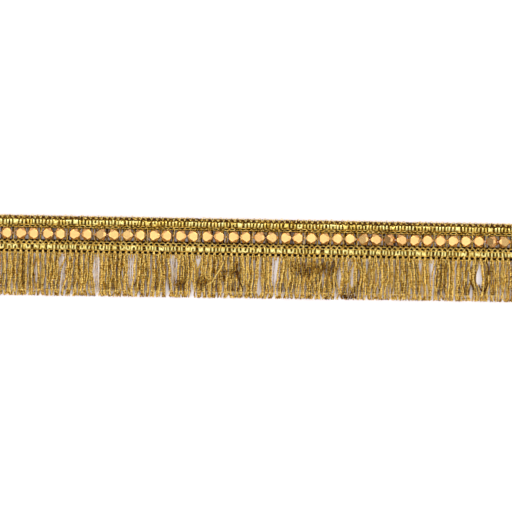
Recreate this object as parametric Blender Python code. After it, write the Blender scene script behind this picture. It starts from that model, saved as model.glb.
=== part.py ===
"""Metallic hanging lace trim: a beaded crochet header over a cut cord fringe.

The trim lies flat, face up. X runs along its length, +Y points to the picot edge, the fringe
hangs towards -Y, and Z = 0 is the sewing side. Each row is placed by its drop, the distance
from the picot edge down to the row's middle.
"""

import math
import random

import bmesh
import bpy
from mathutils import Matrix, Vector

MM = 0.001
SEAT_GAP = 0.3 * MM

# Knitting
STITCH_PITCH = 2.8 * MM
STITCHES = 100
LENGTH = STITCHES * STITCH_PITCH

# Header ground, with its chain wales as ribs and the open ladder behind the beads
HEADER_DROP = 18.5 * MM
HEADING_HEIGHT = 1.45 * MM
GROUND_HEIGHT = HEADER_DROP - HEADING_HEIGHT - SEAT_GAP
GROUND_THICKNESS = 1.0 * MM
PICOT_DEPTH = 0.4 * MM
PICOT_NOTCH = 2.4 * MM
CHAIN_DROPS = {"edge": 1.05 * MM, "upper": 5.1 * MM, "lower": 13.0 * MM}
CHAIN_WIDTH = 1.2 * MM
CHAIN_CREST = 0.6 * MM
CHAIN_TOP = 1.55 * MM
LADDER_DROP = 8.9 * MM
LADDER_HEIGHT = 5.6 * MM
LADDER_THREAD = 0.9 * MM
LADDER_UNEVENNESS = 0.15 * MM

# Foil braids
BRAID_DROPS = {"foil_braid_upper": 3.0 * MM, "foil_braid_lower": 15.3 * MM}
BRAID_WIDTH = 2.3 * MM
BRAID_EDGE = 0.35 * MM
BRAID_VALLEY = 0.45 * MM
BRAID_CROWN = 1.0 * MM
CRIMP_PITCH = 3.5 * MM

# Beads: two six-sided tables and a wider girdle, strung a little closer towards the right end.
# A header thread crosses the string at every second link and pulls it down, so that most beads
# stand in pairs, drawn together, whose tables lean apart. Steps count from the middle bead.
BEAD_SIDES = 6
BEAD_TABLE_RADIUS = 2.15 * MM
BEAD_GIRDLE_RADIUS = 3.0 * MM
BEAD_HALF_THICKNESS = 2.1 * MM
BEAD_STRETCH = 1.05
BEAD_HOLE_RADIUS = 0.7 * MM
BEAD_PITCH = 6.606 * MM
BEAD_CROWDING = 0.00476 * MM
MIDDLE_BEAD_X = 1.35 * MM
BEADS_EACH_SIDE = 20
PAIR_DRAW = 0.3 * MM
PAIR_LEAN = 9
LOOSE_RUNS = (range(4, 8), range(12, 18))
OWN_LEANS = {
    -12: -15, -11: 16, -10: -14, 0: -16, 1: 15, 2: -11, 4: -1, 5: -11, 6: 2, 7: -4, 8: -20, 9: 13,
    10: -35, 11: 13, 12: -10, 13: -5, 14: -5, 15: -13, 16: -6, 17: -3, 18: -35, 19: 14, 20: -35,
}
STRING_RADIUS = 0.3 * MM
STRING_END_INSET = 0.4 * MM

# Fringe: two layers of cut cord, one strand of each layer to a stitch
FRINGE_LEFT = 21.4 * MM
FRINGE_RIGHT = 20.1 * MM
STRAND_WIDTH = 1.15 * MM
STRAND_TOP_WIDTH = 0.75 * MM
STRAND_HEIGHT = 0.75 * MM
STRAND_TIP_SHARE = 0.85
STRAND_SPACING = STRAND_WIDTH + SEAT_GAP
STRAND_SWAY = 0.35 * MM
TIP_UNEVENNESS = 0.5 * MM
LAYER_OFFSET = STITCH_PITCH / 4
LEVELS = {"root": 0.0, "belly": 0.45, "hold": 0.88, "tip": 1.0}
PART_REACH = 6.0 * MM
FRINGE_SEED = 12

# Where the strands part, in millimetres: x at the root, how far the parting leans by the tip,
# and its clear width at each level
PARTING_COLUMNS = ("x", "lean", "root", "belly", "hold", "tip")
PARTINGS = (
    (-110.8, 0.0, 0.2, 1.0, 1.2, 1.0),
    (-97.0, -1.9, 2.4, 1.4, 0.9, 0.5),
    (-79.8, 0.0, 3.7, 3.5, 2.4, 1.5),
    (-63.1, -0.7, 3.4, 3.2, 1.0, 0.0),
    (-45.2, 0.0, 0.0, 0.6, 1.3, 1.3),
    (-41.5, 0.6, 3.0, 2.2, 0.0, 0.0),
    (-32.4, 0.0, 0.0, 0.0, 2.0, 2.3),
    (-29.4, 0.0, 3.2, 0.8, 0.0, 0.0),
    (2.7, -1.0, 0.8, 0.9, 1.2, 0.4),
    (9.9, -0.5, 3.4, 2.6, 0.6, 1.4),
    (42.5, 0.2, 0.0, 1.5, 1.0, 1.2),
    (48.2, -1.0, 2.5, 1.8, 1.2, 0.0),
    (55.7, 0.0, 1.7, 0.3, 0.0, 0.0),
    (71.3, 0.0, 0.0, 0.3, 1.3, 0.6),
    (77.0, 0.0, 0.0, 0.3, 1.1, 0.8),
    (83.7, 0.0, 1.5, 0.2, 0.0, 0.0),
    (88.3, 0.0, 3.5, 1.2, 0.0, 0.0),
    (108.8, 0.0, 0.0, 0.4, 1.2, 0.5),
    (113.3, 0.0, 0.4, 2.7, 0.4, 0.0),
)

PICOT_Y = (HEADER_DROP + FRINGE_LEFT) / 2
GROUND_TOP = GROUND_THICKNESS
FRINGE_ROOT_Y = PICOT_Y - HEADER_DROP


def remove_scene_objects():
    for old in list(bpy.data.objects):
        bpy.data.objects.remove(old, do_unlink=True)


def new_collection(name):
    collection = bpy.data.collections.new(name)
    bpy.context.scene.collection.children.link(collection)
    return collection


def new_material(name, colour, roughness, metallic):
    material = bpy.data.materials.new(name)
    material.use_nodes = True
    shader = material.node_tree.nodes["Principled BSDF"]
    shader.inputs["Base Color"].default_value = (*colour, 1.0)
    shader.inputs["Roughness"].default_value = roughness
    shader.inputs["Metallic"].default_value = metallic
    return material


def add_object(name, data, collection, material=None):
    made = bpy.data.objects.new(name, data)
    collection.objects.link(made)
    if material:
        data.materials.append(material)
    return made


def mesh_from(bm, name):
    bmesh.ops.recalc_face_normals(bm, faces=bm.faces)
    mesh = bpy.data.meshes.new(name)
    bm.to_mesh(mesh)
    bm.free()
    return mesh


def stitch_x(stitch):
    """The middle of a stitch, counted from the left cut end."""
    return -LENGTH / 2 + (stitch + 0.5) * STITCH_PITCH


# Header ground
def ground_section():
    """The ground's section as (y, z): a flat sewing side, and a rib on its face for each chain."""
    lower_y = PICOT_Y - GROUND_HEIGHT
    section = [(lower_y, 0), (PICOT_Y, 0), (PICOT_Y, GROUND_TOP)]
    for drop in CHAIN_DROPS.values():
        middle_y = PICOT_Y - drop
        section.append((middle_y + CHAIN_WIDTH / 2, GROUND_TOP))
        section.append((middle_y + CHAIN_CREST / 2, CHAIN_TOP))
        section.append((middle_y - CHAIN_CREST / 2, CHAIN_TOP))
        section.append((middle_y - CHAIN_WIDTH / 2, GROUND_TOP))
    section.append((lower_y, GROUND_TOP))
    return section


def as_cutter(name, mesh, cutters):
    cutter = add_object(name, mesh, cutters)
    cutter.hide_render = True
    cutter.display_type = "WIRE"
    return cutter


def ladder_gaps(cutters):
    """The openings between the crossing threads behind the beads, none quite like the next."""
    bm = bmesh.new()
    for stitch in range(STITCHES):
        height = LADDER_HEIGHT + LADDER_UNEVENNESS * math.sin(1.7 * stitch)
        size = Vector((STITCH_PITCH - LADDER_THREAD, height, 4 * GROUND_THICKNESS))
        middle = Vector((stitch_x(stitch), PICOT_Y - LADDER_DROP, GROUND_THICKNESS / 2))
        place = Matrix.LocRotScale(middle, None, size)
        bmesh.ops.create_cube(bm, size=1.0, matrix=place)
    return as_cutter("ladder_gaps", mesh_from(bm, "ladder_gaps"), cutters)


def picot_notches(cutters):
    """A notch in the top edge between each two stitches, which leaves the picots standing."""
    bm = bmesh.new()
    diagonal = math.sqrt(2)
    turn = Matrix.Rotation(math.pi / 4, 4, "Z")
    for stitch in range(STITCHES + 1):
        x = stitch_x(stitch) - STITCH_PITCH / 2
        middle = Vector((x, PICOT_Y + PICOT_DEPTH / 4, GROUND_THICKNESS / 2))
        size = Vector((PICOT_NOTCH, 2.5 * PICOT_DEPTH, 4 * GROUND_THICKNESS))
        place = Matrix.LocRotScale(middle, None, size) @ turn @ Matrix.Scale(1 / diagonal, 4)
        bmesh.ops.create_cube(bm, size=1.0, matrix=place)
    return as_cutter("picot_notches", mesh_from(bm, "picot_notches"), cutters)


def make_ground(collection, cutters):
    """The section drawn along the trim, with the ladder gaps and picot notches cut from it."""
    bm = bmesh.new()
    left_end = [bm.verts.new((-LENGTH / 2, y, z)) for y, z in ground_section()]
    drawn = bmesh.ops.extrude_face_region(bm, geom=[bm.faces.new(left_end)], use_keep_orig=True)
    right_end = [part for part in drawn["geom"] if isinstance(part, bmesh.types.BMVert)]
    bmesh.ops.translate(bm, verts=right_end, vec=(LENGTH, 0, 0))
    gold_thread = new_material("gold_knit_thread", (0.212, 0.117, 0.022), 0.55, 0.6)
    ground = add_object("header_ground", mesh_from(bm, "header_ground"), collection, gold_thread)
    for cutter in (ladder_gaps(cutters), picot_notches(cutters)):
        cut = ground.modifiers.new(cutter.name, "BOOLEAN")
        cut.operation = "DIFFERENCE"
        cut.object = cutter


# Foil braids
def make_braid(name, drop, foil, collection):
    """A flat strip whose face rises to a crown in each crimp and dips between them."""
    crimps = round(LENGTH / CRIMP_PITCH)
    bm = bmesh.new()
    bmesh.ops.create_cube(bm, size=1.0)
    along = [e for e in bm.edges if abs(e.verts[0].co.x - e.verts[1].co.x) > 0.5]
    bmesh.ops.subdivide_edges(bm, edges=along, cuts=2 * crimps - 1, use_grid_fill=True)
    bmesh.ops.bisect_plane(
        bm, geom=bm.verts[:] + bm.edges[:] + bm.faces[:], plane_co=(0, 0, 0), plane_no=(0, 1, 0)
    )
    for vert in bm.verts:
        on_top = vert.co.z > 0
        in_middle = abs(vert.co.y) < 0.25
        step = round((vert.co.x + 0.5) * 2 * crimps)
        crown = BRAID_CROWN if step % 2 else BRAID_VALLEY
        height = 0 if not on_top else crown if in_middle else BRAID_EDGE
        vert.co = Vector((vert.co.x * LENGTH, vert.co.y * BRAID_WIDTH, height))
    bmesh.ops.dissolve_limit(bm, angle_limit=math.radians(0.5), verts=bm.verts, edges=bm.edges)
    braid = add_object(name, mesh_from(bm, name), collection, foil)
    braid.location = (0, PICOT_Y - drop, GROUND_TOP + SEAT_GAP)


def make_braids(collection):
    for name, drop in BRAID_DROPS.items():
        foil = new_material(name + "_film", (0.694, 0.521, 0.136), 0.25, 1.0)
        make_braid(name, drop, foil, collection)


# Beads and their string
def bead_steps():
    return range(-BEADS_EACH_SIDE, BEADS_EACH_SIDE + 1)


def bead_side(step):
    """Which way its pair lies from a bead: 1 for the left bead of a pair, -1 for the right one."""
    return 1 if step % 2 == 0 else -1


def bead_tilt(step):
    """How far the bead's table turns to the right about Y, away from its pair."""
    return math.radians(OWN_LEANS.get(step, -bead_side(step) * PAIR_LEAN))


def bead_centre(step):
    """The bead stands on its lowest table edge, a seat gap above the ladder."""
    x = MIDDLE_BEAD_X + BEAD_PITCH * step - BEAD_CROWDING * step * step
    if not any(step in run for run in LOOSE_RUNS):
        x += bead_side(step) * PAIR_DRAW
    tilt = abs(bead_tilt(step))
    table_half_width = BEAD_TABLE_RADIUS * math.cos(math.pi / BEAD_SIDES) * BEAD_STRETCH
    rise = BEAD_HALF_THICKNESS * math.cos(tilt) + table_half_width * math.sin(tilt)
    return Vector((x, PICOT_Y - LADDER_DROP, GROUND_TOP + SEAT_GAP + rise))


def bead_mesh():
    """A six-sided prism with a loop round its girdle and its two ends drawn in to the tables."""
    bm = bmesh.new()
    bmesh.ops.create_cone(
        bm,
        cap_ends=True,
        segments=BEAD_SIDES,
        radius1=BEAD_TABLE_RADIUS,
        radius2=BEAD_TABLE_RADIUS,
        depth=2 * BEAD_HALF_THICKNESS,
    )
    cut = bmesh.ops.bisect_plane(
        bm, geom=bm.verts[:] + bm.edges[:] + bm.faces[:], plane_co=(0, 0, 0), plane_no=(0, 0, 1)
    )
    girdle = [part for part in cut["geom_cut"] if isinstance(part, bmesh.types.BMVert)]
    widen = BEAD_GIRDLE_RADIUS / BEAD_TABLE_RADIUS
    bmesh.ops.scale(bm, verts=girdle, vec=(widen, widen, 1))
    bmesh.ops.scale(bm, verts=bm.verts, vec=(BEAD_STRETCH, 1, 1))
    return mesh_from(bm, "bead")


def make_beads(collection, cutters):
    bore = bmesh.new()
    bmesh.ops.create_cone(
        bore,
        cap_ends=True,
        segments=BEAD_SIDES,
        radius1=BEAD_HOLE_RADIUS,
        radius2=BEAD_HOLE_RADIUS,
        depth=3 * BEAD_GIRDLE_RADIUS,
    )
    bmesh.ops.rotate(bore, verts=bore.verts, matrix=Matrix.Rotation(math.pi / 2, 3, "Y"))
    bore_mesh = mesh_from(bore, "bead_bore")
    shared = bead_mesh()
    shared.materials.append(new_material("plated_bead", (0.964, 0.694, 0.287), 0.12, 1.0))
    for count, step in enumerate(bead_steps(), start=1):
        bead = add_object(f"bead_{count:02d}", shared, collection)
        bead.location = bead_centre(step)
        bead.rotation_euler.y = bead_tilt(step)
        cutter = as_cutter(f"bead_bore_{count:02d}", bore_mesh, cutters)
        cutter.location = bead.location
        cutter.rotation_euler = bead.rotation_euler
        drill = bead.modifiers.new("bore", "BOOLEAN")
        drill.operation = "DIFFERENCE"
        drill.object = cutter


def string_points():
    """Straight through each bead, and from its mouth to the next bead's mouth."""
    mouth = BEAD_GIRDLE_RADIUS * math.cos(math.pi / BEAD_SIDES) * BEAD_STRETCH + SEAT_GAP / 2
    end_height = GROUND_TOP + SEAT_GAP + STRING_RADIUS
    end_x = LENGTH / 2 - STRING_END_INSET
    points = [Vector((-end_x, PICOT_Y - LADDER_DROP, end_height))]
    for step in bead_steps():
        tilt = bead_tilt(step)
        axis = Vector((math.cos(tilt), 0, -math.sin(tilt)))
        points.append(bead_centre(step) - axis * mouth)
        points.append(bead_centre(step) + axis * mouth)
    points.append(Vector((end_x, PICOT_Y - LADDER_DROP, end_height)))
    return points


def make_string(collection):
    curve = bpy.data.curves.new("bead_string", "CURVE")
    curve.dimensions = "3D"
    curve.bevel_depth = STRING_RADIUS
    curve.bevel_resolution = 0
    curve.use_fill_caps = True
    points = string_points()
    spline = curve.splines.new("POLY")
    spline.points.add(len(points) - 1)
    for point, place in zip(spline.points, points):
        point.co = (*place, 1.0)
    thread = new_material("bead_thread", (0.791, 0.559, 0.418), 0.5, 0.2)
    add_object("bead_string", curve, collection, thread)


# Fringe
def parted(x, level):
    """Where a strand rooted at x lies at a level, pushed aside by the partings near it."""
    moved = x
    for row in PARTINGS:
        parting = dict(zip(PARTING_COLUMNS, row))
        away = x - parting["x"] * MM
        push = math.copysign(parting[level] * MM / 2, away)
        drift = parting["lean"] * MM * LEVELS[level]
        moved += (push + drift) * math.exp(-abs(away) / PART_REACH)
    return moved


def spaced(places):
    """The same places, each at least one strand spacing from the one before and inside the trim."""
    least = -LENGTH / 2 + STRAND_SPACING / 2
    most = LENGTH / 2 - STRAND_SPACING / 2
    for index, place in enumerate(places):
        places[index] = max(place, least)
        least = places[index] + STRAND_SPACING
    for index in reversed(range(len(places))):
        places[index] = min(places[index], most)
        most = places[index] - STRAND_SPACING
    return places


def layer_places(offset, rng):
    """For each level, the x of every strand of one layer."""
    roots = [stitch_x(stitch) + offset for stitch in range(STITCHES)]
    places = {}
    for level in LEVELS:
        sway = STRAND_SWAY if level != "root" else 0
        places[level] = spaced([parted(x, level) + rng.uniform(-sway, sway) for x in roots])
    return places


def fringe_length(x):
    """The strands are a little longer towards the left end."""
    share = x / LENGTH + 0.5
    return FRINGE_LEFT + (FRINGE_RIGHT - FRINGE_LEFT) * share


def heading_strip(bm, layers):
    """The heading chain as a bar. Its front face is a grid with a root cell for each strand."""
    columns = 2 * STITCHES + 1
    bmesh.ops.create_grid(bm, x_segments=columns, y_segments=3, size=0.5)
    base = [0, STRAND_HEIGHT, STRAND_HEIGHT + SEAT_GAP, 2 * STRAND_HEIGHT + SEAT_GAP]
    root_cells = {}
    for face in bm.faces:
        middle = face.calc_center_median()
        column = int((middle.x + 0.5) * columns)
        row = int((middle.y + 0.5) * 3)
        if column % 2 and row != 1:
            root_cells[column // 2, row // 2] = face
    for vert in bm.verts:
        column = round((vert.co.x + 0.5) * columns)
        row = round((vert.co.y + 0.5) * 3)
        width = STRAND_WIDTH if row % 2 == 0 else STRAND_TOP_WIDTH
        if column in (0, columns):
            x = math.copysign(LENGTH / 2, column - 1)
        else:
            side = 1 if column % 2 == 0 else -1
            x = layers[row // 2]["root"][(column - 1) // 2] + side * width / 2
        vert.co = Vector((x, FRINGE_ROOT_Y, base[row]))
    rim = [edge for edge in bm.edges if edge.is_boundary]
    walls = bmesh.ops.extrude_edge_only(bm, edges=rim)["geom"]
    back = [part for part in walls if isinstance(part, bmesh.types.BMVert)]
    bmesh.ops.translate(bm, verts=back, vec=(0, HEADING_HEIGHT, 0))
    back_rim = [edge for edge in bm.edges if edge.is_boundary]
    bmesh.ops.contextual_create(bm, geom=back_rim)
    behind = [edge for edge in bm.edges if edge.verts[0] in back or edge.verts[1] in back]
    bmesh.ops.dissolve_limit(bm, angle_limit=math.radians(0.5), verts=back, edges=behind)
    return root_cells


def grow_strand(bm, root, places, base_height, length):
    """Extrudes one root cell level by level, so that the strand lies on its flat side."""
    face = root
    for level, share in list(LEVELS.items())[1:]:
        face = bmesh.ops.extrude_discrete_faces(bm, faces=[face])["faces"][0]
        middle = face.calc_center_median()
        narrowing = 1 - (1 - STRAND_TIP_SHARE) * share
        for vert in face.verts:
            upper = vert.co.z > middle.z
            width = (STRAND_TOP_WIDTH if upper else STRAND_WIDTH) * narrowing
            side = 1 if vert.co.x > middle.x else -1
            vert.co.x = places[level] + side * width / 2
            vert.co.y = FRINGE_ROOT_Y - length * share
            vert.co.z = base_height + (STRAND_HEIGHT if upper else 0)


def make_fringe(collection):
    rng = random.Random(FRINGE_SEED)
    layers = [layer_places(-LAYER_OFFSET, rng), layer_places(LAYER_OFFSET, rng)]
    bm = bmesh.new()
    root_cells = heading_strip(bm, layers)
    for (stitch, layer), root in root_cells.items():
        places = {level: layers[layer][level][stitch] for level in LEVELS}
        length = fringe_length(places["tip"]) - rng.uniform(0, TIP_UNEVENNESS)
        grow_strand(bm, root, places, layer * (STRAND_HEIGHT + SEAT_GAP), length)
    cord = new_material("fringe_cord", (0.402, 0.246, 0.065), 0.45, 0.7)
    add_object("fringe", mesh_from(bm, "fringe"), collection, cord)


def main():
    remove_scene_objects()
    trim = new_collection("metallic_hanging_trim")
    cutters = new_collection("cutters")
    make_ground(trim, cutters)
    make_braids(trim)
    make_beads(trim, cutters)
    make_string(trim)
    make_fringe(trim)


main()
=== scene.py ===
"""Metallic hanging lace trim, dressed on its CAD frame.

A beaded gold crochet-knit header with two bands of folded foil film, over a cut cord fringe. The
trim lies face up: X runs along it, +Y points to the picot edge, Z = 0 is the surface it lies on.
A row's drop is the distance from the picot edge down to the row's middle. A thread's tone is how
bright it is: 0 to 1 is plain thread, and dull or dark thread lies below that. Tone also carries
painted shade and painted light, where threads are drawn darker or lighter than they are.
"""

import math
import random

import bmesh
import bpy
from mathutils import Matrix, Vector


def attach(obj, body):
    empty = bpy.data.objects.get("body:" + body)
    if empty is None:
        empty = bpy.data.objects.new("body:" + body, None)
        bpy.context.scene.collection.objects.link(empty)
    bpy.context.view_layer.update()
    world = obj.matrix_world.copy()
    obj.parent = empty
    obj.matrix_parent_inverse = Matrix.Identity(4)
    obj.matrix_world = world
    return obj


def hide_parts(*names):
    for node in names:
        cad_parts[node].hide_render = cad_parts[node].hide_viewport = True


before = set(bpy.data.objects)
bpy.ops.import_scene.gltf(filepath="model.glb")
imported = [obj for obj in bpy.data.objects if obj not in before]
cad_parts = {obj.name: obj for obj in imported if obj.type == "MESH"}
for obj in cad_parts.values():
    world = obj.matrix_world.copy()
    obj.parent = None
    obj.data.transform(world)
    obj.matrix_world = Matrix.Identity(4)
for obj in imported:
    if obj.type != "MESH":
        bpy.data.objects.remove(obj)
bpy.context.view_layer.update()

MM = 0.001

# Sizes that the solids have too
STITCH_PITCH = 2.8 * MM
STITCHES = 100
LENGTH = STITCHES * STITCH_PITCH
LEFT_END, RIGHT_END = -LENGTH / 2, LENGTH / 2
HEADER_DROP = 18.5 * MM
HEADING_HEIGHT = 1.45 * MM
SEAT_GAP = 0.3 * MM
GROUND_HEIGHT = HEADER_DROP - HEADING_HEIGHT - SEAT_GAP
GROUND_TOP = 1.0 * MM
LADDER_DROP = 8.9 * MM
LADDER_HEIGHT = 5.6 * MM
LADDER_THREAD = 0.9 * MM
FRINGE_LEFT = 21.4 * MM
FRINGE_RIGHT = 20.1 * MM
PICOT_Y = (HEADER_DROP + FRINGE_LEFT) / 2
FRINGE_ROOT_Y = PICOT_Y - HEADER_DROP

# The beads: their size and spacing, and the lean of those that differ from the rule, in degrees
BEAD_TABLE_RADIUS = 2.15 * MM
BEAD_HALF_THICKNESS = 2.1 * MM
BEAD_STRETCH = 1.05
BEAD_PITCH = 6.606 * MM
BEAD_CROWDING = 0.00476 * MM
MIDDLE_BEAD_X = 1.35 * MM
BEADS_EACH_SIDE = 20
PAIR_DRAW = 0.3 * MM
PAIR_LEAN = 9
LOOSE_RUNS = (range(4, 8), range(12, 18))
OWN_LEANS = {
    -12: -15, -11: 16, -10: -14, 0: -16, 1: 15, 2: -11, 4: -1, 5: -11, 6: 2, 7: -4, 8: -20, 9: 13,
    10: -35, 11: 13, 12: -10, 13: -5, 14: -5, 15: -13, 16: -6, 17: -3, 18: -35, 19: 14, 20: -35,
}
STRING_RADIUS = 0.3 * MM

# The levels of a strand as shares of its length. The hold stitch crosses it at the hold.
LEVELS = {"root": 0.0, "belly": 0.45, "hold": 0.88, "tip": 1.0}

# Where the strands part, in millimetres: x at the root, how far the parting leans by the tip, its
# clear width at each level, and how many fine hairs are left in it
PARTING_COLUMNS = ("x", "lean", "root", "belly", "hold", "tip", "hairs")
PARTING_ROWS = (
    (-110.8, 0.0, 0.2, 1.0, 1.2, 1.0, 1),
    (-97.0, -1.9, 3.6, 2.4, 1.6, 0.5, 6),
    (-79.8, 0.0, 4.0, 4.0, 2.8, 1.8, 16),
    (-63.1, -0.7, 3.8, 3.8, 1.4, 0.0, 10),
    (-45.2, 0.0, 0.0, 0.6, 1.3, 1.3, 0),
    (-41.5, 0.6, 3.8, 2.2, 0.0, 0.0, 6),
    (-32.4, 0.0, 0.0, 0.0, 2.0, 2.3, 1),
    (-29.4, 0.0, 3.2, 0.8, 0.0, 0.0, 2),
    (2.7, -1.0, 0.8, 0.9, 1.2, 0.4, 1),
    (9.9, -0.9, 4.3, 3.2, 1.1, 1.6, 3),
    (42.7, -0.6, 0.4, 2.4, 1.9, 1.4, 2),
    (48.2, -1.0, 2.5, 1.9, 1.0, 0.0, 8),
    (55.7, 0.0, 1.7, 0.3, 0.0, 0.0, 1),
    (71.3, 0.0, 0.0, 0.3, 1.3, 0.6, 0),
    (77.0, 0.0, 0.0, 0.3, 1.1, 0.8, 0),
    (83.7, 0.0, 1.5, 0.2, 0.0, 0.0, 1),
    (88.3, 0.0, 3.5, 1.2, 0.0, 0.0, 4),
    (108.8, 0.0, 0.0, 0.4, 1.4, 0.6, 0),
    (113.3, 0.0, 1.4, 3.2, 0.4, 0.0, 0),
)
PARTINGS = [dict(zip(PARTING_COLUMNS, row)) for row in PARTING_ROWS]
# How far along the trim a parting pushes strands, and the width in millimetres from which no
# loose hair crosses it
PART_REACH = 6.0 * MM
WIDE_PARTING = 2.0

# Threads, in millimetres: radius of a ply, radius and pitch of the twist, step between points and
# sides of a ply. A thread without twist is one ply. Real zari cord has a finer twist than this:
# it is drawn coarse enough to show in the picture.
THREAD_COLUMNS = ("ply", "twist", "pitch", "step", "sides")
THREADS = {
    "chain_loop": (0.22, 0.0, 2.0, 0.55, 4),
    "film_bed": (0.2, 0.12, 1.8, 0.6, 4),
    "ladder_threads": (0.13, 0.1, 1.8, 0.5, 4),
    "film_ties": (0.14, 0.0, 2.0, 0.5, 4),
    "lower_chain_legs": (0.17, 0.0, 2.0, 0.5, 4),
    "picot_loops": (0.14, 0.0, 2.0, 0.5, 4),
    "picot_cores": (0.24, 0.0, 2.0, 0.5, 4),
    "strand_starts": (0.2, 0.16, 2.0, 0.5, 4),
    "bead_thread": (0.18, 0.14, 1.2, 0.25, 6),
    "link_threads": (0.15, 0.11, 1.6, 0.4, 4),
    "fringe_cords": (0.29, 0.28, 2.4, 0.32, 4),
    "fringe_cut_ends": (0.18, 0.1, 1.4, 0.45, 4),
    "fringe_loose_hairs": (0.1, 0.0, 2.0, 0.6, 3),
    "fringe_core_threads": (0.15, 0.1, 1.6, 0.5, 4),
    "pulled_core_threads": (0.26, 0.18, 1.6, 0.5, 4),
    "stray_thread": (0.2, 0.16, 1.8, 0.25, 4),
    "hold_stitch": (0.17, 0.12, 1.0, 0.3, 4),
}
# The least and the most tone of each kind. The dark tones of the film's bed, the picot holes'
# threads, the loose hairs and the fringe's gap and tangle threads are painted shade.
TONES = {
    "film_bed": (-1.5, -0.3), "ladder_threads": (-1.4, 0.6), "film_ties": (0.0, 0.6),
    "lower_chain_legs": (1.1, 1.5), "picot_loops": (1.2, 1.8), "picot_cores": (-2.7, -0.7),
    "strand_starts": (0.7, 1.3), "link_threads": (-0.3, 0.5), "hold_stitch": (0.9, 2.0),
    "fringe_loose_hairs": (-2.0, 2.2), "parting_hairs": (0.4, 1.4),
    "fringe_core_threads": (-3.4, -0.6), "tangle_shade_threads": (-1.8, -0.2),
}
PLAIN_TONE, BARE_CORE_TONE, STRAY_TONE = 0.5, -4.0, 2.6

# The header's rows of chain stitches: drop in millimetres, shift along the trim in stitches, how
# wide the loops open, height in millimetres, and how much brighter than plain thread they are
# drawn.
# The upper and lower rows lie in the beads' shade and are painted lighter: painted light.
CHAINS = {
    "picot": (0.35, 0.5, 0.55, 1.15, -0.6),
    "edge": (1.35, 0.5, 0.65, 1.15, -0.4),
    "upper": (5.05, 0.0, 0.8, 1.45, 0.3),
    "lower": (13.4, 0.5, 1.1, 1.6, 0.8),
    "heading": (17.65, 0.5, 1.35, 1.9, -0.1),
}

# The film braids: drop, how much brighter than plain film they are drawn, how far a fold strays
# along the braid, and how many upright folds and how many of each other kind there are to pick
# from. The lower braid lies in the beads' shade and is painted lighter than the upper: painted
# light.
FOILS = {
    "upper": {"drop": 2.95 * MM, "lift": 0.25, "stray": 0.2 * MM, "upright": 8, "other": 1},
    "lower": {"drop": 15.45 * MM, "lift": 0.65, "stray": 0.55 * MM, "upright": 4, "other": 2},
}
FOLDS = 84
FOLD_PITCH = LENGTH / FOLDS
TAPE_WIDTH = 1.08 * MM
TAPE_EDGE = 0.2 * MM
TAPE_CROWN = 0.85 * MM
TAPE_LAP = 0.12 * MM
# The limbs of film tape in each kind of fold: both ends in millimetres from the fold's middle
LEFT_LIMB = (-0.86, -1.3, -0.8, 1.3)
RIGHT_LIMB = (0.8, 1.3, 0.86, -1.3)
FOLD_KINDS = {
    "upright": (LEFT_LIMB, RIGHT_LIMB),
    "footed": (LEFT_LIMB, RIGHT_LIMB, (-1.1, -0.75, 1.1, -0.7)),
    "headed": (LEFT_LIMB, RIGHT_LIMB, (-1.1, 0.7, 1.1, 0.75)),
    "slanting": (LEFT_LIMB, RIGHT_LIMB, (-0.8, 1.1, 0.8, -1.1)),
    "crowded": ((-0.7, -1.3, -0.6, 1.3), (0.6, 1.3, 0.7, -1.3), (-0.5, -1.1, 0.5, 1.2)),
}

# Threads laid on the header, in millimetres: where a stitch's three ladder threads start from its
# middle and how far their lower ends stray, the drops of the dark threads painted as shade in the
# picot holes and of the film's bed, and how many of the stitches or folds have a leg, a picot loop
# or a tie
LADDER_STARTS = ((-1.4, 0.4), (-0.45, 1.3), (0.45, 1.3))
PICOT_SHADE_DROPS = (0.6, 1.05)
BED_DROPS = (2.0, 2.6, 3.2, 3.8, 14.5, 15.1, 15.7, 16.3)
LEG_SHARE, PICOT_SHARE, TIE_SHARE = 0.85, 0.92, 0.3

# Fringe cords, one of each layer to a stitch: height, and how far from the stitch's middle the
# cord starts and hangs. The hold stitch draws them together, so they keep a share of that spread.
CORD_LAYERS = {
    "under": {"height": 0.65 * MM, "start": -0.4 * MM, "hang": -0.9 * MM},
    "middle": {"height": 1.0 * MM, "start": 0.0, "hang": 0.0},
    "upper": {"height": 1.35 * MM, "start": 0.4 * MM, "hang": 0.9 * MM},
}
SPREAD_KEPT = {"belly": 1.0, "hold": 0.5, "tip": 0.8}
CORD_SPACING = 1.0 * MM
CORD_SWAY = 0.65 * MM
CORD_POINTS = 9
PLIES_PER_END = 4
LOOSE_HAIRS = 980
# How many dark threads of painted shade lie between the cords above the hold stitch, by stitch
SHADE_THREADS_PER_STITCH = (0, 0, 0, 1, 2)

# Tangles of the fringe, where the cords are painted darker as painted shade, in millimetres: x, y,
# reach along x and y, depth of the shade, and the number of dark threads drawn across it as painted
# shade too, none of which hangs lower than the last value here
TANGLES = (
    (25.0, -4.6, 6.0, 2.6, 2.0, 12),
    (33.5, -4.2, 6.5, 2.4, 1.9, 12),
    (-38.4, -13.2, 2.0, 1.8, 2.4, 8),
    (-27.1, -11.9, 2.4, 2.6, 2.2, 8),
    (-9.7, -5.4, 2.6, 2.6, 2.2, 9),
    (46.2, -17.6, 3.0, 1.8, 2.4, 5),
    (-17.4, -7.2, 3.4, 4.6, 0.9, 6),
)
LOWEST_TANGLE = -19.5

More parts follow.
